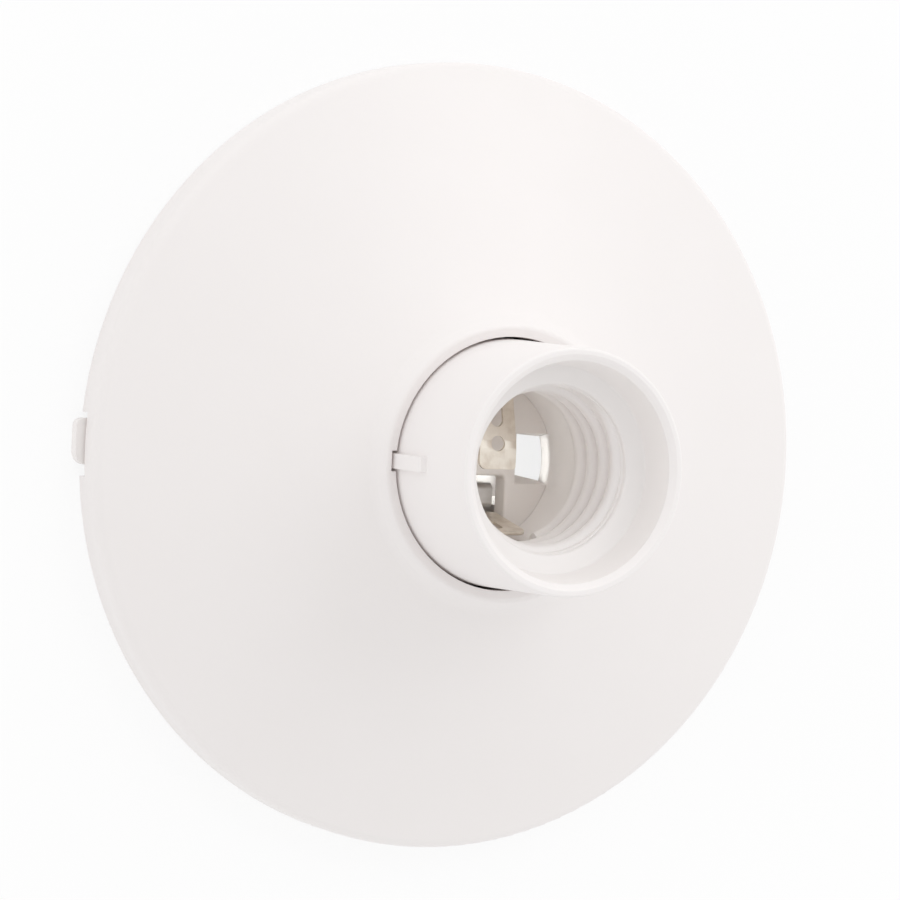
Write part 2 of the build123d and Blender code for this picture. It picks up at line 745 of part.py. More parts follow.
# Three countersunk screws come from the back: two into the barrel and one into the carrier
sunk_screws = {"carrier_screw": Vector(carrier_screw_place, 0, 0)}
for side, screw_angle in barrel_screw_angles.items():
    sunk_screws[f"barrel_screw_{side}"] = Vector(barrel_screw_circle, 0, 0).rotate(Axis.Z, screw_angle)
head_taper = screw_head_radius - screw_radius
for screw_name, screw_place in sunk_screws.items():
    with BuildPart() as sunk_screw:
        with BuildSketch(upright(0, screw_place)):
            with BuildLine():
                Polyline(
                    (0, head_recess),
                    (screw_head_radius, head_recess),
                    (screw_radius, head_recess + head_taper),
                    (screw_radius, screw_length - screw_radius),
                    (0, screw_length),
                    close=True,
                )
            make_face()
        revolve(axis=Axis(screw_place, (0, 0, 1)))
        with BuildSketch(Plane.XY.offset(head_recess)):
            with Locations(screw_place):
                Rectangle(2 * screw_radius, screw_slot_width, rotation=screw_cross_turn)
                Rectangle(screw_slot_width, 2 * screw_radius, rotation=screw_cross_turn)
        extrude(amount=screw_slot_depth, mode=Mode.SUBTRACT)
    sunk_screw.part.label = screw_name
    export_step(sunk_screw.part, f"parts/{screw_name}.step")
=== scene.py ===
import json
from contextlib import contextmanager
from math import cos, pi, radians, sin, sqrt, tan

import bmesh
import bpy
from mathutils import Matrix, Vector

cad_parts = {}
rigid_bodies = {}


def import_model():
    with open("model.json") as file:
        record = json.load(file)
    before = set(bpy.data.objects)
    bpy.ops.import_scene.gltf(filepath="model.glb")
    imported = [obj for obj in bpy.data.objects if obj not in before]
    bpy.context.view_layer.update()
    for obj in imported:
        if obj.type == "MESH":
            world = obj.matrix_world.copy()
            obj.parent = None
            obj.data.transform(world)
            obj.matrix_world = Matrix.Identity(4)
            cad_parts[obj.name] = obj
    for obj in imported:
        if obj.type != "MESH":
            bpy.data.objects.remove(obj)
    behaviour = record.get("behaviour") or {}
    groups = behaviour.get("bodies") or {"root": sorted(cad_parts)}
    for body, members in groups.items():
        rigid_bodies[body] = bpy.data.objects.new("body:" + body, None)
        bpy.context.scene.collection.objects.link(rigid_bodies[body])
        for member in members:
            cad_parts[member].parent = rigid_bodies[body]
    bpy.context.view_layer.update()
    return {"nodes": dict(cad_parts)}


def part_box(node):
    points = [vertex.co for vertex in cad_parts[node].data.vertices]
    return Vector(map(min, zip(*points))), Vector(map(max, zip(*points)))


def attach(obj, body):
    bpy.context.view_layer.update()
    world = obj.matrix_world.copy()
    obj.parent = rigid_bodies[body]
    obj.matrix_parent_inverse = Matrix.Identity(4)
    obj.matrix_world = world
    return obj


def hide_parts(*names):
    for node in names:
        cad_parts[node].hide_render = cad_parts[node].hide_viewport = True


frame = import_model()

# A batten lamp holder on its flat back, seen from the front and a little to its left, in metres.
MM = 0.001

# The camera, from the ellipses of the rim and the lip in the photograph
IMAGE_SIDE = 900
CAMERA_TURN = 28.183
CAMERA_LIFT = 2.375
CAMERA_ROLL = 2.932
CAMERA_DISTANCE = 677.5 * MM
CAMERA_NEAR = 10 * MM
AXIS_PIXEL = (440.678, 455.068)
PIXELS_PER_MM = 6.008

# The sky and the soft lamp
SKY_OVERHEAD = 0.74
SKY_AROUND = 1.22
SKY_TOWARDS_TOP = 0.1
SKY_BANDS = (0.25, 0.8)
BACKDROP_STRENGTH = 1.0
WHITE_BOUNCES = 12
KEY_POWER = 2.6
KEY_SIZE = 900 * MM
KEY_PLACE = (620 * MM, 760 * MM, 900 * MM)
KEY_AIM = (0, 0, 0)

# The glows inside the object
GLOW_COLOUR = (0.957, 1.0, 0.983)
BARREL_GLOW = 0.00106
BARREL_GLOW_PLACE = (-1 * MM, -0.5 * MM, 20 * MM)
BARREL_GLOW_RADIUS = 5 * MM
WINDOW_GLOW = 0.000045
WINDOW_GLOW_PLACE = (9 * MM, 0.4 * MM, 11.3 * MM)
WINDOW_GLOW_TURN = (0, -pi / 2, 0)
WINDOW_GLOW_SIZE = (2.6 * MM, 8 * MM)
WINDOW_GLOW_SPREAD = 25
POCKET_GLOW = 0.0006
POCKET_GLOW_PLACE = (8.5 * MM, 0.3 * MM, 4 * MM)
POCKET_GLOW_AIM = (2 * MM, -8 * MM, 6 * MM)
POCKET_GLOW_SIZE = 4 * MM
POCKET_GLOW_SPREAD = 120

# The floor, whose whiteness to the camera grows away from the object
FLOOR_SIZE = 6000 * MM
FLOOR_DROP = 0.2 * MM
FLOOR_COLOUR = (0.93, 0.93, 0.93, 1)
FLOOR_WHITENESS = 0.84
FLOOR_WHITENESS_FAR = 0.96
FLOOR_SHADE = (50 * MM, 160 * MM)

# The colours
WHITE = (1, 1, 1, 1)
COVER_WHITE = (0.905, 0.872, 0.862, 1)
COVER_TINT = (0.875, 0.839, 0.825, 1)
BARREL_WHITE = (0.918, 0.885, 0.875, 1)
# Painted shade: a darker colour for the barrel's bore, which stands in for the shade deep inside it
BARREL_PAINTED_SHADE = (0.885, 0.86, 0.846, 1)
BASE_WHITE = (0.935, 0.902, 0.888, 1)
BASE_TINT = (0.9, 0.866, 0.847, 1)
CARRIER_GREY = (0.86, 0.82, 0.79, 1)
CARRIER_TINT = (0.83, 0.785, 0.755, 1)
SPRING_BRIGHT = (0.92, 0.865, 0.775, 1)
SPRING_TARNISH = (0.64, 0.55, 0.455, 1)
STEEL_BRIGHT = (0.78, 0.77, 0.755, 1)
STEEL_TARNISH = (0.62, 0.60, 0.58, 1)
BRASS_BRIGHT = (0.80, 0.62, 0.33, 1)
BRASS_TARNISH = (0.62, 0.44, 0.22, 1)

# The plastic's patterns: the width of their blots, and the noise between which a ramp runs
MOTTLE_SIZE = 14 * MM
SPECKLE_SIZE = 0.5 * MM
PEEL_SIZE = 1.6 * MM
HANDLED_SIZE = 22 * MM
HANDLED_BAND = (0.45, 0.7)
PLASTIC_IOR = 1.5
# Painted shade: the radii off the axis between which the barrel's darker inside colour turns to its outside
# white
BARREL_SHADE_FADE = (17 * MM, 18.5 * MM)

# The metal's patterns
LINE_SIZE = 0.09 * MM
CLOUD_SIZE = 3.2 * MM
CLOUD_BAND = (0.35, 0.75)
SCUFF_SIZE = 0.7 * MM
SCUFF_BAND = (0.56, 0.72)
ROLLED_DEPTH = 0.006 * MM
LAY_ALONG_X = (1, 30, 30)
LAY_ACROSS = (30, 1, 1)

# Work on meshes, with the angles in degrees
SEAM_GAP = 0.0005 * MM
LOOSE_GAP = 0.001 * MM
FLAT_WITHIN = 1
EDGE_OVER = 40
CREASE = 35
CARRIER_CREASE = 12
LARGE_FACES_FIRST = 100

# The sprung contacts
STRIP_THICKNESS = 0.5 * MM
STRIP_STEP = 0.2 * MM
STRIP_EASE = 0.07 * MM
BEND_STEPS = 12
CORNER_STEPS = 6
PUNCH_REACH = 6 * MM
PUNCH_TURN = 10
PUNCH_SIDEWAYS = Matrix.Rotation(pi / 2, 4, "X")
CENTRE_BEND_PLACE = 2.8 * MM
CENTRE_ARM_RISE = 2.4 * MM
CENTRE_BENDS = (0.9 * MM, 7 * MM)
CENTRE_CORNERS = (1.3 * MM, 0.5 * MM)
CENTRE_HOLE_PLACE = 3.1 * MM
CENTRE_HOLE_SIZE = (2.5 * MM, 2.5 * MM)
CENTRE_SLOT_PLACE = 7.8 * MM
CENTRE_SLOT_SIZE = (2.4 * MM, 4.0 * MM)
SIDE_BEND_HEIGHT = 12.8 * MM
SIDE_BEND = 2.5 * MM
SIDE_CORNERS = (2.3 * MM, 2.3 * MM)
SIDE_SLOT_HEIGHT = 19.6 * MM
SIDE_SLOT_SIZE = (1.6 * MM, 4.2 * MM)

# The carrier, the straps and the terminals
CARRIER_LIP = 0.11 * MM
CARRIER_LIP_DEPTH = 0.1 * MM
CARRIER_EDGE_WITHIN = 0.01 * MM
SIDE_STRAP_EASE = 0.12 * MM
CENTRE_STRAP_EASE = 0.1 * MM
TERMINAL_EASE = 0.2 * MM

# The screws and the rivets
FASTENER_STEP = 0.08 * MM
FASTENER_SIDES = 40
FASTENER_SEAM = FASTENER_STEP / 20
TURNING_RADIUS = 1 * MM
SCREW_RADIUS = 1.25 * MM
SCREW_HEAD_RADIUS = 2.4 * MM
SCREW_HEAD_HEIGHT = 1.8 * MM
SCREW_DOME = 0.25 * MM
SCREW_EASE = 0.3 * MM
SCREW_HEAD_EASE = SCREW_EASE / 4
SCREW_SLOT_WIDTH = 0.6 * MM
SCREW_SLOT_DEPTH = 0.9 * MM
MACHINE_PITCH = 0.5 * MM
MACHINE_THREAD = 0.16 * MM
TERMINAL_SCREW_SEED = 4
TAPPING_PITCH = 1.0 * MM
TAPPING_THREAD = 0.24 * MM
SUNK_RIM = 0.15 * MM
SUNK_EASE = SUNK_RIM / 3
SUNK_POINT = 1.2
CROSS_WIDTH = 0.62 * MM
CROSS_SPAN = 2.6 * MM
CROSS_DEPTH = 1.1 * MM
SUNK_SCREW_SEED = 9
RIVET_RADIUS = 1.2 * MM
RIVET_HEAD_RADIUS = 2.1 * MM
RIVET_HEAD_HEIGHT = 0.8 * MM
RIVET_CROWN = ((1, 0.8), (0.93, 0.4), (0.72, 0.08), (0.5, 0))
RIVET_DIMPLE = 0.35 * MM
RIVET_DIMPLE_SHARE = 0.36
RIVET_SEED = 2


class Value:
    """A node's socket that can stand in a sum."""

    def __init__(self, home, socket):
        self.home = home
        self.socket = socket

    def __add__(self, other):
        return self.home.maths("ADD", self, other)

    def __sub__(self, other):
        return self.home.maths("SUBTRACT", self, other)

    def __rsub__(self, other):
        return self.home.maths("SUBTRACT", other, self)

    def __mul__(self, other):
        return self.home.maths("MULTIPLY", self, other)

    def __truediv__(self, other):
        return self.home.maths("DIVIDE", self, other)

    def __pow__(self, other):
        return self.home.maths("POWER", self, other)

    __radd__ = __add__
    __rmul__ = __mul__


class Tree:
    """A node tree, with the one method that makes its nodes."""

    def __init__(self, tree):
        self.tree = tree
        self.tree.nodes.clear()

    def node(self, kind, settings={}, inputs={}, output=0):
        """Makes a node: its settings first, then the values or links of its sockets."""
        made = self.tree.nodes.new(kind)
        for name, value in settings.items():
            if name == "cases":
                while len(made.index_switch_items) < value:
                    made.index_switch_items.new()
            else:
                setattr(made, name, value)
        for name, value in inputs.items():
            for each in value if isinstance(value, list) else [value]:
                if isinstance(each, Value):
                    self.tree.links.new(each.socket, made.inputs[name])
                else:
                    made.inputs[name].default_value = each
        return Value(self, made.outputs[output]) if len(made.outputs) else None

    def maths(self, operation, first, second=0.0):
        return self.node("ShaderNodeMath", {"operation": operation}, {0: first, 1: second})

    def vector(self, x=0, y=0, z=0):
        return self.node("ShaderNodeCombineXYZ", inputs={0: x, 1: y, 2: z})

    def parts(self, vector, axes):
        """Some of a vector's coordinates."""
        return [self.node("ShaderNodeSeparateXYZ", inputs={0: vector}, output=axis) for axis in axes]


class Finish(Tree):
    """The shader tree of one surface."""

    def place(self):
        """Where a point is, in the object's own frame."""
        return self.node("ShaderNodeTexCoord", output="Object")

    def off_axis(self):
        """How far a point is from the lamp's axis."""
        x, y = self.parts(self.place(), "XY")
        return (x * x + y * y) ** 0.5

    def noise(self, size, detail, stretch=(1, 1, 1)):
        """Soft noise whose blots are about a size across, drawn out by the stretch."""
        scale = tuple(1 / side for side in stretch)
        where = self.node("ShaderNodeMapping", inputs={"Vector": self.place(), "Scale": scale})
        return self.node(
            "ShaderNodeTexNoise", inputs={"Vector": where, "Scale": 1 / size, "Detail": detail}, output="Fac"
        )

    def ramp(self, value, low, high):
        """Goes smoothly from 0 to 1 as a value goes from low to high."""
        return self.node(
            "ShaderNodeMapRange", {"interpolation_type": "SMOOTHSTEP"}, {"Value": value, 1: low, 2: high}
        )

    def mix(self, factor, first, second):
        """Mixes two colours."""
        return self.node("ShaderNodeMix", {"data_type": "RGBA"}, {0: factor, 6: first, 7: second}, output=2)

    def bump(self, height, depth):
        return self.node("ShaderNodeBump", inputs={"Height": height, "Distance": depth})

    def mix_shaders(self, factor, first, second):
        return self.node("ShaderNodeMixShader", inputs={0: factor, 1: first, 2: second})

    def surface(self, **sockets):
        """Puts a Principled shader on the surface."""
        inputs = {}
        for name, value in sockets.items():
            inputs[name.replace("_", " ").title().replace("Ior", "IOR")] = value
        self.show(self.node("ShaderNodeBsdfPrincipled", inputs=inputs))

    def show(self, shader):
        self.node("ShaderNodeOutputMaterial", inputs={"Surface": shader})


class Maker(Tree):
    """A geometry tree that turns one shape and sets it down at each of some places."""

    def __init__(self, name, sizes):
        super().__init__(bpy.data.node_groups.new(name, "GeometryNodeTree"))
        face = self.tree.interface
        face.new_socket("places", in_out="INPUT", socket_type="NodeSocketGeometry")
        face.new_socket("finish", in_out="INPUT", socket_type="NodeSocketMaterial")
        for size in sizes:
            face.new_socket(size, in_out="INPUT", socket_type="NodeSocketFloat")
        face.new_socket("shapes", in_out="OUTPUT", socket_type="NodeSocketGeometry")
        given = self.node("NodeGroupInput").socket.node
        self.given = {socket.name: Value(self, socket) for socket in given.outputs if socket.name}
        self.sizes = sizes

    def pick(self, values):
        """The value whose turn it is, by the point's number."""
        number = self.node("GeometryNodeInputIndex")
        settings = {"data_type": "FLOAT", "cases": len(values)}
        return self.node("GeometryNodeIndexSwitch", settings, dict(enumerate([number, *values])))

    def turned(self, profile):
        """The closed solid that a profile of (radius, height) points makes round the upright axis."""
        across = self.pick([radius for radius, _ in profile]) - TURNING_RADIUS
        down = 0 - self.pick([height for _, height in profile])
        points = self.node("GeometryNodeMeshLine", inputs={"Count": len(profile)})
        points = self.moved(points, self.vector(across, down))
        line = self.node("GeometryNodeMeshToCurve", inputs={"Mesh": points})
        outline = self.node(
            "GeometryNodeResampleCurve", {"mode": "LENGTH"}, {"Curve": line, "Length": FASTENER_STEP}
        )
        round_sides = {"Resolution": FASTENER_SIDES, "Radius": TURNING_RADIUS}
        ring = self.node("GeometryNodeCurvePrimitiveCircle", inputs=round_sides)
        skin = self.node("GeometryNodeCurveToMesh", inputs={"Curve": ring, "Profile Curve": outline})
        return self.node("GeometryNodeMergeByDistance", inputs={"Geometry": skin, "Distance": FASTENER_SEAM})

    def moved(self, shape, position):
        return self.node("GeometryNodeSetPosition", inputs={"Geometry": shape, "Position": position})

    def faded(self, value, low, high):
        """Goes from 0 to 1 as a value goes from low to high."""
        return self.node("ShaderNodeMapRange", inputs={"Value": value, 1: low, 2: high})

    def threaded(self, shape, bottom, top, pitch, depth):
        """Cuts a right-handed thread into what is turned between two heights."""
        x, y, z = self.parts(self.node("GeometryNodeInputPosition"), "XYZ")
        turns = z / pitch - self.maths("ARCTAN2", y, x) / (2 * pi)
        wave = self.maths("PINGPONG", turns, 0.5) * 2
        inside = self.faded(z, bottom, bottom + pitch / 2) * self.faded(0 - z, 0 - top, pitch / 2 - top)
        shrink = 1 - wave * inside * depth / self.maths("SQRT", x * x + y * y)
        return self.moved(shape, self.vector(x * shrink, y * shrink, z))

    def block(self, x, y, z, height):
        """A block on the axis, its middle at a height."""
        cube = self.node("GeometryNodeMeshCube", inputs={"Size": self.vector(x, y, z)})
        lift = self.vector(z=height)
        return self.node("GeometryNodeTransform", inputs={"Geometry": cube, "Translation": lift})

    def cut(self, shape, tools):
        """Takes the tools out of a shape."""
        return self.node(
            "GeometryNodeMeshBoolean", {"operation": "DIFFERENCE", "solver": "EXACT"},
            {"Mesh 1": shape, "Mesh 2": tools},
        )

    def set_down(self, shape, seed):
        """Ends the tree: one shape at each place, each turned its own way."""
        angle = self.node("FunctionNodeRandomValue", inputs={3: 2 * pi, "Seed": seed}, output=1)
        turn = self.node("FunctionNodeAxisAngleToRotation", inputs={"Axis": (0, 0, 1), "Angle": angle})
        each = self.node(
            "GeometryNodeInstanceOnPoints",
            inputs={"Points": self.given["places"], "Instance": shape, "Rotation": turn},
        )
        whole = self.node("GeometryNodeRealizeInstances", inputs={"Geometry": each})
        finished = self.node(
            "GeometryNodeSetMaterial", inputs={"Geometry": whole, "Material": self.given["finish"]}
        )
        self.node("NodeGroupOutput", inputs={"shapes": finished})

    def make(self, name, finish, nodes):
        """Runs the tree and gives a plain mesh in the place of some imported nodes, one shape for each."""
        marks = bpy.data.meshes.new(name)
        marks.from_pydata([foot(node) for node in nodes], [], [])
        maker = placed(name, marks)
        steps = maker.modifiers.new("make", "NODES")
        steps.node_group = self.tree
        for item in self.tree.interface.items_tree:
            if item.name in self.sizes:
                steps[item.identifier] = self.sizes[item.name]
            elif item.name == "finish":
                steps[item.identifier] = finish
        mesh = plain_mesh(maker)
        bpy.data.objects.remove(maker)
        piece(name, mesh, finish, nodes)


def placed(name, data):
    """An object at the origin, with its mesh, lamp or camera."""
    made = bpy.data.objects.new(name, data)
    bpy.context.scene.collection.objects.link(made)
    return made


@contextmanager
def opened(mesh):
    """Opens a mesh for changes to its corners, edges and faces, and closes it with them."""
    shape = bmesh.new()
    shape.from_mesh(mesh)
    yield shape
    shape.to_mesh(mesh)
    shape.free()


def plain_mesh(source):
    """What an object looks like with its modifiers, as a mesh of its own."""
    return bpy.data.meshes.new_from_object(source.evaluated_get(bpy.context.evaluated_depsgraph_get()))


def piece(name, mesh, finish, nodes, crease=CREASE):
    """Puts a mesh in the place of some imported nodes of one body, its faces outwards and its curves smooth."""
    with opened(mesh) as shape:
        bmesh.ops.remove_doubles(shape, verts=shape.verts, dist=SEAM_GAP)
        bmesh.ops.recalc_face_normals(shape, faces=shape.faces)
    mesh.shade_smooth()
    mesh.set_sharp_from_angle(angle=radians(crease))
    mesh.materials.clear()
    mesh.materials.append(finish)
    made = placed(name, mesh)
    # Flat faces stay flat beside rounded edges
    even = made.modifiers.new("even", "WEIGHTED_NORMAL")
    even.keep_sharp = True
    even.weight = LARGE_FACES_FIRST
    made.data = plain_mesh(made)
    made.modifiers.clear()
    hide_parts(*nodes)
    # Blender ends a material's name in a number where a packed one has it already
    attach(made, frame["nodes"][nodes[0]].parent.name.removeprefix("body:"))


def join_flats(shape):
    """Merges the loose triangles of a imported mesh, and joins those that lie flat side by side."""
    bmesh.ops.remove_doubles(shape, verts=shape.verts, dist=LOOSE_GAP)
    bmesh.ops.dissolve_limit(
        shape, angle_limit=radians(FLAT_WITHIN), verts=shape.verts, edges=shape.edges
    )


def eased(mesh, width):
    """Rounds the sharp edges of a mesh a little."""
    with opened(mesh) as shape:
        join_flats(shape)
        sharp = [edge for edge in shape.edges
                 if edge.is_manifold and edge.calc_face_angle() > radians(EDGE_OVER)]
        bmesh.ops.bevel(
            shape, geom=sharp, offset=width, segments=2, profile=0.5, affect="EDGES", clamp_overlap=True
        )
    return mesh


def new_finish(name):
    material = bpy.data.materials.new(name)
    material.use_nodes = True
    return material, Finish(material.node_tree)


def moulded_plastic(name, colour, tint, roughness, grain_depth, inside=None):
    """White plastic from a polished mould: a faint mottle, a fine orange peel and a soft shine, and, where an
    inside colour is given, painted shade in the barrel's bore.
    """
    material, finish = new_finish(name)
    # Painted shade: nearer the axis than the fade, the inside colour darkens the bore
    if inside:
        colour = finish.mix(finish.ramp(finish.off_axis(), *BARREL_SHADE_FADE), inside, colour)
    mottle = finish.noise(MOTTLE_SIZE, 3)
    speckle = finish.noise(SPECKLE_SIZE, 2)
    peel = finish.noise(PEEL_SIZE, 3)
    handled = finish.ramp(finish.noise(HANDLED_SIZE, 4), *HANDLED_BAND)
    finish.surface(
        base_color=finish.mix(0.55 * mottle + 0.25 * speckle, colour, tint),
        roughness=roughness + 0.07 * handled + 0.06 * speckle,
        normal=finish.bump(0.7 * peel + 0.3 * speckle, grain_depth),
        ior=PLASTIC_IOR,
    )
    return material


def rolled_metal(name, colour, tint, roughness, lay, wear):
    """Rolled strip: fine lines along its lay, cloudy tarnish and small scuffs."""
    material, finish = new_finish(name)
    lines = finish.noise(LINE_SIZE, 3, stretch=lay)
    cloud = finish.ramp(finish.noise(CLOUD_SIZE, 4), *CLOUD_BAND)
    scuff = finish.ramp(finish.noise(SCUFF_SIZE, 4), *SCUFF_BAND)
    finish.surface(
        base_color=finish.mix(0.75 * cloud + 0.25 * lines, colour, tint),
        metallic=1.0,
        roughness=roughness + 0.12 * lines + wear * scuff + 0.08 * cloud,
        normal=finish.bump(lines + 0.6 * scuff, ROLLED_DEPTH),
    )
    return material


def place_camera():
    """Stands the camera where the photograph's was."""
    turn, lift, roll = radians(CAMERA_TURN), radians(CAMERA_LIFT), radians(CAMERA_ROLL)
    back = Vector((-sin(turn) * cos(lift), sin(lift), cos(turn) * cos(lift)))
    level = Vector((0, 1, 0)).cross(back).normalized()
    steep = back.cross(level)
    right = cos(roll) * level + sin(roll) * steep
    up = cos(roll) * steep - sin(roll) * level
    across, down = ((pixel - IMAGE_SIDE / 2) / PIXELS_PER_MM * MM for pixel in AXIS_PIXEL)
    camera = placed("camera", bpy.data.cameras.new("camera"))
    place = Matrix.Translation(CAMERA_DISTANCE * back - across * right + down * up)
    camera.matrix_world = place @ Matrix((right, up, back)).transposed().to_4x4()
    camera.data.lens = CAMERA_DISTANCE / MM * PIXELS_PER_MM * camera.data.sensor_width / IMAGE_SIDE
    camera.data.clip_start = CAMERA_NEAR
    bpy.context.scene.camera = camera


def seen_straight(finish):
    """1 for what the camera sees, also in a mirror or through glass, and 0 for what only gives light."""
    rays = ("Camera", "Glossy", "Transmission")
    camera, glossy, through = (finish.node("ShaderNodeLightPath", output=f"Is {ray} Ray") for ray in rays)
    return camera + glossy + through


def open_the_sky():
    """A bright sky all round, which the camera sees as plain white."""
    world = bpy.data.worlds.new("studio")
    world.use_nodes = True
    sky = Finish(world.node_tree)
    top, overhead = sky.parts(sky.node("ShaderNodeTexCoord", output="Generated"), "YZ")
    fall = (SKY_AROUND - SKY_OVERHEAD) * sky.ramp(overhead, *SKY_BANDS)
    light = SKY_AROUND - fall + SKY_TOWARDS_TOP * top
    strength = light + (BACKDROP_STRENGTH - light) * seen_straight(sky)
    shader = sky.node("ShaderNodeBackground", inputs={"Color": WHITE, "Strength": strength})
    sky.node("ShaderNodeOutputWorld", inputs={"Surface": shader})
    bpy.context.scene.world = world


def hang_lamp(name, kind, power, place):
    lamp = placed(name, bpy.data.lights.new(name, kind))
    lamp.data.energy = power
    lamp.location = place
    return lamp


def turn_to(lamp, aim):
    """Turns a lamp towards a place."""
    lamp.rotation_euler = (lamp.location - Vector(aim)).to_track_quat("Z", "Y").to_euler()


def light_the_studio():
    """A bright sky, one large soft lamp, and three small glows inside the hollow object."""
    open_the_sky()
    key = hang_lamp("key_lamp", "AREA", KEY_POWER, KEY_PLACE)
    key.data.shape = "DISK"
    key.data.size = KEY_SIZE
    turn_to(key, KEY_AIM)

    # White plastic lets some light through, which these three stand for
    barrel = hang_lamp("barrel_glow", "POINT", BARREL_GLOW, BARREL_GLOW_PLACE)
    barrel.data.shadow_soft_size = BARREL_GLOW_RADIUS
    window = hang_lamp("window_glow", "AREA", WINDOW_GLOW, WINDOW_GLOW_PLACE)
    window.data.shape = "RECTANGLE"
    window.data.size, window.data.size_y = WINDOW_GLOW_SIZE
    window.data.spread = radians(WINDOW_GLOW_SPREAD)
    window.rotation_euler = WINDOW_GLOW_TURN
    pocket = hang_lamp("pocket_glow", "AREA", POCKET_GLOW, POCKET_GLOW_PLACE)
    pocket.data.size = POCKET_GLOW_SIZE
    pocket.data.spread = radians(POCKET_GLOW_SPREAD)
    turn_to(pocket, POCKET_GLOW_AIM)
    for glow in (barrel, window, pocket):
        glow.data.color = GLOW_COLOUR
        glow.visible_camera = False
        glow.visible_glossy = False


def lay_floor():
    """A pale floor under the flat back, white to the camera but for the object's shadow."""
    half = FLOOR_SIZE / 2
    mesh = bpy.data.meshes.new("floor")
    sides = ((-half, -half), (half, -half), (half, half), (-half, half))
    mesh.from_pydata([(x, y, -FLOOR_DROP) for x, y in sides], [], [(0, 1, 2, 3)])
    floor = placed("floor", mesh)
    material, finish = new_finish("floor_paper")
    paper = finish.node("ShaderNodeBsdfDiffuse", inputs={"Color": FLOOR_COLOUR})
    white = finish.node("ShaderNodeEmission", inputs={"Strength": BACKDROP_STRENGTH})
    far = finish.ramp(finish.off_axis(), *FLOOR_SHADE)
    whiteness = FLOOR_WHITENESS + (FLOOR_WHITENESS_FAR - FLOOR_WHITENESS) * far
    front = finish.mix_shaders(whiteness * seen_straight(finish), paper, white)
    under = finish.node("ShaderNodeNewGeometry", output="Backfacing")
    finish.show(finish.mix_shaders(under, front, finish.node("ShaderNodeBsdfTransparent")))
    mesh.materials.append(material)


def followed(corners, bends):
    """Follows straight runs with rounded corners: gives a look-up of place and direction, and the length."""
    stops = [Vector(corner) for corner in corners]
    points = [stops[0]]
    for before, corner, after, bend in zip(stops, stops[1:], stops[2:], bends):
        back, on = (before - corner).normalized(), (after - corner).normalized()
        half = back.angle(on) / 2
        middle = corner + (back + on).normalized() * bend / sin(half)
        start, end = corner + back * bend / tan(half) - middle, corner + on * bend / tan(half) - middle
        points += [middle + start.slerp(end, step / BEND_STEPS) * bend for step in range(BEND_STEPS + 1)]
    points.append(stops[-1])
    lengths = [0.0]
    for first, second in zip(points, points[1:]):
        lengths.append(lengths[-1] + (second - first).length)

    def at(distance):
        number = max(i for i in range(len(points) - 1) if lengths[i] <= distance or i == 0)
        along = (points[number + 1] - points[number]).normalized()
        return points[number] + along * (distance - lengths[number]), along

    return at, lengths[-1]


def skin(shape, rings):
    """Closes a row of rings of corners into a solid."""
    for first, second in zip(rings, rings[1:]):
        for i in range(len(first)):
            j = (i + 1) % len(first)
            shape.faces.new((first[i], first[j], second[j], second[i]))
    shape.faces.new(rings[0][::-1])
    shape.faces.new(rings[-1])
    bmesh.ops.recalc_face_normals(shape, faces=shape.faces)


def spring_strip(name, corners, bends, half_width, end_corners):
    """A strip folded from sheet: it follows a path in the YZ plane, and its far end has rounded corners."""
    at, length = followed(corners, bends)
    stops = {length - corner * (1 - sin(radians(90 * step / CORNER_STEPS)))
             for corner in end_corners for step in range(CORNER_STEPS + 1)}
    count = int((length - max(end_corners)) / STRIP_STEP)
    stops |= {step * STRIP_STEP for step in range(count)}
    mesh = bpy.data.meshes.new(name)
    with opened(mesh) as shape:
        rings = []
        for stop in sorted(stops):
            point, along = at(stop)
            off = Vector((0, -along.z, along.y)) * STRIP_THICKNESS / 2
            sides = []
            for side, corner in zip((-1, 1), end_corners):
                past = max(0, stop - (length - corner))
                sides.append(side * (half_width - corner + sqrt(max(0, corner ** 2 - past ** 2))))
            left, right = sides
            rings.append([shape.verts.new(point + up * off + Vector((x, 0, 0)))
                          for x, up in ((left, -1), (right, -1), (right, 1), (left, 1))])
        skin(shape, rings)
    return mesh


def punch(place, width, length, turn):
    """A round-ended punch through a place."""
    half, run = width / 2, (length - width) / 2
    outline = [(half * cos(radians(angle)), half * sin(radians(angle)) + (run if angle <= 180 else -run))
               for angle in range(0, 360, PUNCH_TURN)]
    tool = placed("punch", bpy.data.meshes.new("punch"))
    with opened(tool.data) as shape:
        skin(shape, [[shape.verts.new((x, y, z)) for x, y in outline] for z in (-PUNCH_REACH, PUNCH_REACH)])
        shape.transform(Matrix.Translation(place) @ turn)
    return tool


def punched(mesh, holes, turn=Matrix()):
    """Punches holes of (place, size) through a mesh, along Z or as turned."""
    sheet = placed("sheet", mesh)
    punches = [punch(place, *size, turn) for place, size in holes]
    for tool in punches:
        cut = sheet.modifiers.new("cut", "BOOLEAN")
        cut.operation, cut.solver, cut.object = "DIFFERENCE", "EXACT", tool
    result = plain_mesh(sheet)
    for used in (sheet, *punches):
        bpy.data.objects.remove(used)
    return result


def corners_of(node):
    """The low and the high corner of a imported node's box."""
    return [Vector(corner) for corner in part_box(node)]


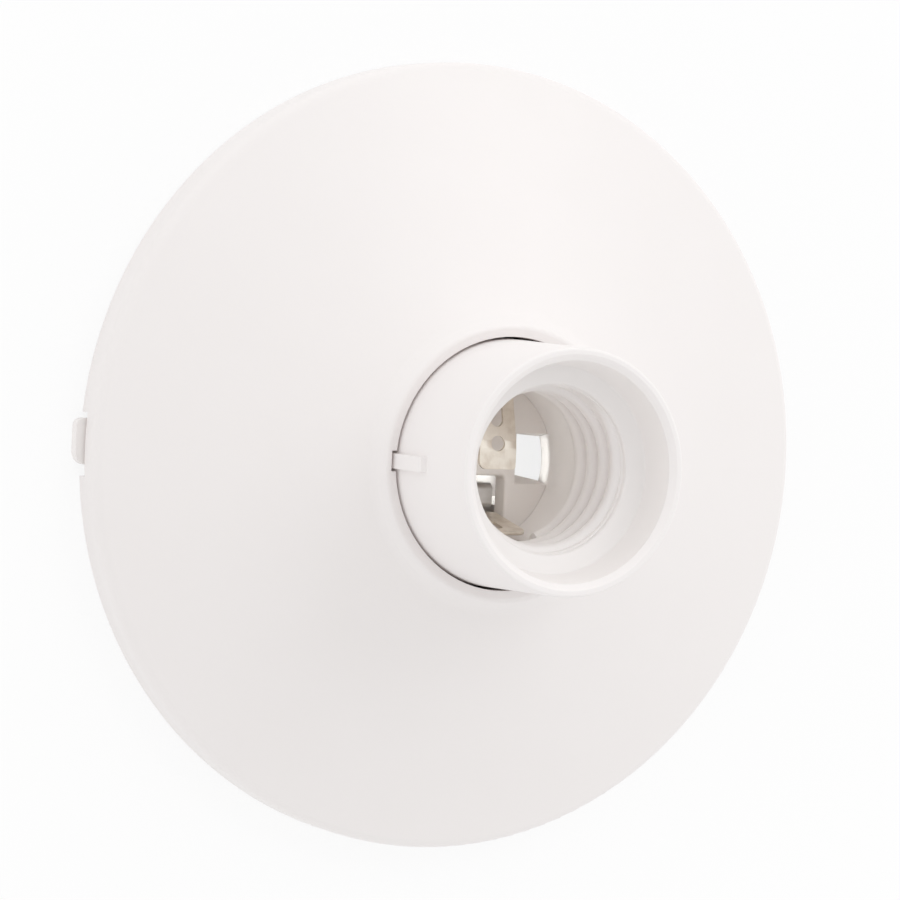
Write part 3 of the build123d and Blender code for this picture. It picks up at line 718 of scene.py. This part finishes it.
def make_contacts(spring):
    """The two sprung contacts, each a folded strip with punched holes and eased edges."""
    half = STRIP_THICKNESS / 2
    low, high = corners_of("centre_contact")
    leg, tip = high.y - half, high.z - half
    path = [(0, leg, low.z), (0, leg, tip - CENTRE_ARM_RISE), (0, CENTRE_BEND_PLACE, tip), (0, low.y, tip)]
    mesh = spring_strip("centre_contact_strip", path, CENTRE_BENDS, high.x, CENTRE_CORNERS)
    holes = [
        (Vector((0, CENTRE_HOLE_PLACE, tip)), CENTRE_HOLE_SIZE),
        (Vector((0, CENTRE_SLOT_PLACE, tip)), CENTRE_SLOT_SIZE),
    ]
    piece("centre_contact_strip", eased(punched(mesh, holes), STRIP_EASE), spring, ["centre_contact"])

    low, high = corners_of("side_contact")
    leg, tip = high.y - half, low.y + half
    path = [(0, leg, low.z), (0, leg, SIDE_BEND_HEIGHT), (0, tip, high.z)]
    mesh = spring_strip("side_contact_strip", path, [SIDE_BEND], high.x, SIDE_CORNERS)
    holes = [(Vector((0, (leg + tip) / 2, SIDE_SLOT_HEIGHT)), SIDE_SLOT_SIZE)]
    mesh = eased(punched(mesh, holes, PUNCH_SIDEWAYS), STRIP_EASE)
    piece("side_contact_strip", mesh, spring, ["side_contact"])


def foot(node):
    """The middle of a node's lower end."""
    low, high = corners_of(node)
    return ((low.x + high.x) / 2, (low.y + high.y) / 2, low.z)


def height(node):
    low, high = corners_of(node)
    return high.z - low.z


def make_terminal_screws(steel):
    """Slotted machine screws with a shallow dome, whose fall grows with the square of the radius."""
    nodes = [name for name in frame["nodes"] if name.endswith("terminal_screw")]
    maker = Maker("terminal_screw_maker", {
        "length": height(nodes[0]), "radius": SCREW_RADIUS, "head radius": SCREW_HEAD_RADIUS,
        "head height": SCREW_HEAD_HEIGHT, "pitch": MACHINE_PITCH, "thread depth": MACHINE_THREAD,
        "slot width": SCREW_SLOT_WIDTH, "slot depth": SCREW_SLOT_DEPTH,
    })
    size = maker.given
    length, radius, wide, tall = (size[name] for name in ("length", "radius", "head radius", "head height"))
    under = length - tall
    shape = maker.turned([
        (0, 0), (radius - SCREW_EASE, 0), (radius, SCREW_EASE), (radius, under),
        (wide - SCREW_HEAD_EASE, under), (wide, under + SCREW_HEAD_EASE),
        (wide, length - SCREW_EASE - SCREW_DOME), (wide - SCREW_EASE, length - SCREW_DOME),
        (wide / 2, length - SCREW_DOME / 4), (0, length),
    ])
    shape = maker.threaded(shape, SCREW_EASE, under, size["pitch"], size["thread depth"])
    slot = maker.block(wide * 3, size["slot width"], size["slot depth"] * 2, length)
    maker.set_down(maker.cut(shape, [slot]), TERMINAL_SCREW_SEED)
    maker.make("terminal_screws", steel, nodes)


def make_sunk_screws(steel):
    """Countersunk tapping screws with a cross recess, their heads at the back."""
    nodes = ["barrel_screw_left", "barrel_screw_right", "carrier_screw"]
    maker = Maker("sunk_screw_maker", {
        "length": height(nodes[0]), "radius": SCREW_RADIUS, "head radius": SCREW_HEAD_RADIUS,
        "pitch": TAPPING_PITCH, "thread depth": TAPPING_THREAD, "cross width": CROSS_WIDTH,
        "cross span": CROSS_SPAN, "cross depth": CROSS_DEPTH,
    })
    size = maker.given
    length, radius, wide = (size[name] for name in ("length", "radius", "head radius"))
    neck = wide - radius + SUNK_RIM
    shape = maker.turned([
        (0, 0), (wide - SUNK_EASE, 0), (wide, SUNK_EASE), (wide, SUNK_RIM), (radius, neck),
        (radius, length - radius * SUNK_POINT), (0, length),
    ])
    shape = maker.threaded(shape, neck, length - radius / 2, size["pitch"], size["thread depth"])
    span, width = size["cross span"], size["cross width"]
    arms = [maker.block(x, y, size["cross depth"] * 2, 0) for x, y in ((span, width), (width, span))]
    maker.set_down(maker.cut(shape, arms), SUNK_SCREW_SEED)
    maker.make("sunk_screws", steel, nodes)


def make_rivet(node, steel):
    """A rivet with a flat head below, and above a crowned one with the punch's dimple."""
    maker = Maker(f"{node}_maker", {
        "length": height(node), "radius": RIVET_RADIUS, "head radius": RIVET_HEAD_RADIUS,
        "head height": RIVET_HEAD_HEIGHT, "dimple": RIVET_DIMPLE,
    })
    size = maker.given
    length, radius, wide, tall = (size[name] for name in ("length", "radius", "head radius", "head height"))
    ease, dimple = tall / 6, size["dimple"]
    shape = maker.turned([
        (0, 0), (wide - ease, 0), (wide, ease), (wide, tall - ease), (wide - ease, tall),
        (radius, tall), (radius, length - tall), (wide - tall / 8, length - tall),
        *((wide * share, length - tall * fall) for share, fall in RIVET_CROWN),
        (wide * RIVET_DIMPLE_SHARE, length - dimple / 3), (0, length - dimple),
    ])
    maker.set_down(shape, RIVET_SEED)
    maker.make(f"{node}_turned", steel, [node])


def make_carrier(finish):
    """A copy of the carrier with a thin lip that closes the gap round its face."""
    mesh = frame["nodes"]["contact_carrier"].data.copy()
    mesh.name = "carrier_lipped"
    low, high = corners_of("contact_carrier")
    edge = -low.x
    for corner in mesh.vertices:
        reach = corner.co.xy.length
        if corner.co.z > high.z - CARRIER_LIP_DEPTH and reach > edge - CARRIER_EDGE_WITHIN:
            corner.co.xy *= (edge + CARRIER_LIP) / reach
    with opened(mesh) as shape:
        join_flats(shape)
    piece("carrier_lipped", mesh, finish, ["contact_carrier"], CARRIER_CREASE)


def ease_plates(finishes):
    """The straps and the terminals with their edges eased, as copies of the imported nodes."""
    for name, (finish, width) in finishes.items():
        mesh = frame["nodes"][name].data.copy()
        mesh.name = f"{name}_eased"
        piece(f"{name}_eased", eased(mesh, width), finish, [name])


def finish_all():
    """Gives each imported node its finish, and makes the pieces that stand for some of them."""
    plastics = {
        "cover_dish": moulded_plastic(
            "cover_plastic", COVER_WHITE, COVER_TINT, roughness=0.34, grain_depth=0.012 * MM
        ),
        # The barrel's bore gets painted shade from the inside colour
        "lamp_barrel": moulded_plastic(
            "barrel_plastic", BARREL_WHITE, COVER_WHITE, roughness=0.30, grain_depth=0.008 * MM,
            inside=BARREL_PAINTED_SHADE,
        ),
        "base_plate": moulded_plastic(
            "base_plastic", BASE_WHITE, BASE_TINT, roughness=0.45, grain_depth=0.02 * MM
        ),
        "contact_carrier": moulded_plastic(
            "carrier_plastic", CARRIER_GREY, CARRIER_TINT, roughness=0.42, grain_depth=0.02 * MM
        ),
    }
    spring = rolled_metal(
        "spring_strip", SPRING_BRIGHT, SPRING_TARNISH, roughness=0.26, lay=LAY_ALONG_X, wear=0.2
    )
    steel = rolled_metal("steel", STEEL_BRIGHT, STEEL_TARNISH, roughness=0.34, lay=LAY_ALONG_X, wear=0.15)
    brass = rolled_metal("brass", BRASS_BRIGHT, BRASS_TARNISH, roughness=0.3, lay=LAY_ACROSS, wear=0.2)
    for name, node in frame["nodes"].items():
        node.data.materials.clear()
        node.data.materials.append(plastics.get(name, steel))
    make_carrier(plastics["contact_carrier"])
    make_contacts(spring)
    make_terminal_screws(steel)
    make_sunk_screws(steel)
    for node in ("centre_strap_rivet", "side_strap_rivet"):
        make_rivet(node, steel)
    ease_plates({
        "side_contact_strap": (steel, SIDE_STRAP_EASE),
        "centre_contact_strap": (brass, CENTRE_STRAP_EASE),
        **{f"{name}_terminal": (brass, TERMINAL_EASE) for name in ("active", "neutral", "loop", "earth")},
    })


bpy.context.scene.view_settings.view_transform = "Standard"
bpy.context.scene.cycles.diffuse_bounces = WHITE_BOUNCES
bpy.context.scene.cycles.max_bounces = WHITE_BOUNCES
place_camera()
light_the_studio()
lay_floor()
finish_all()
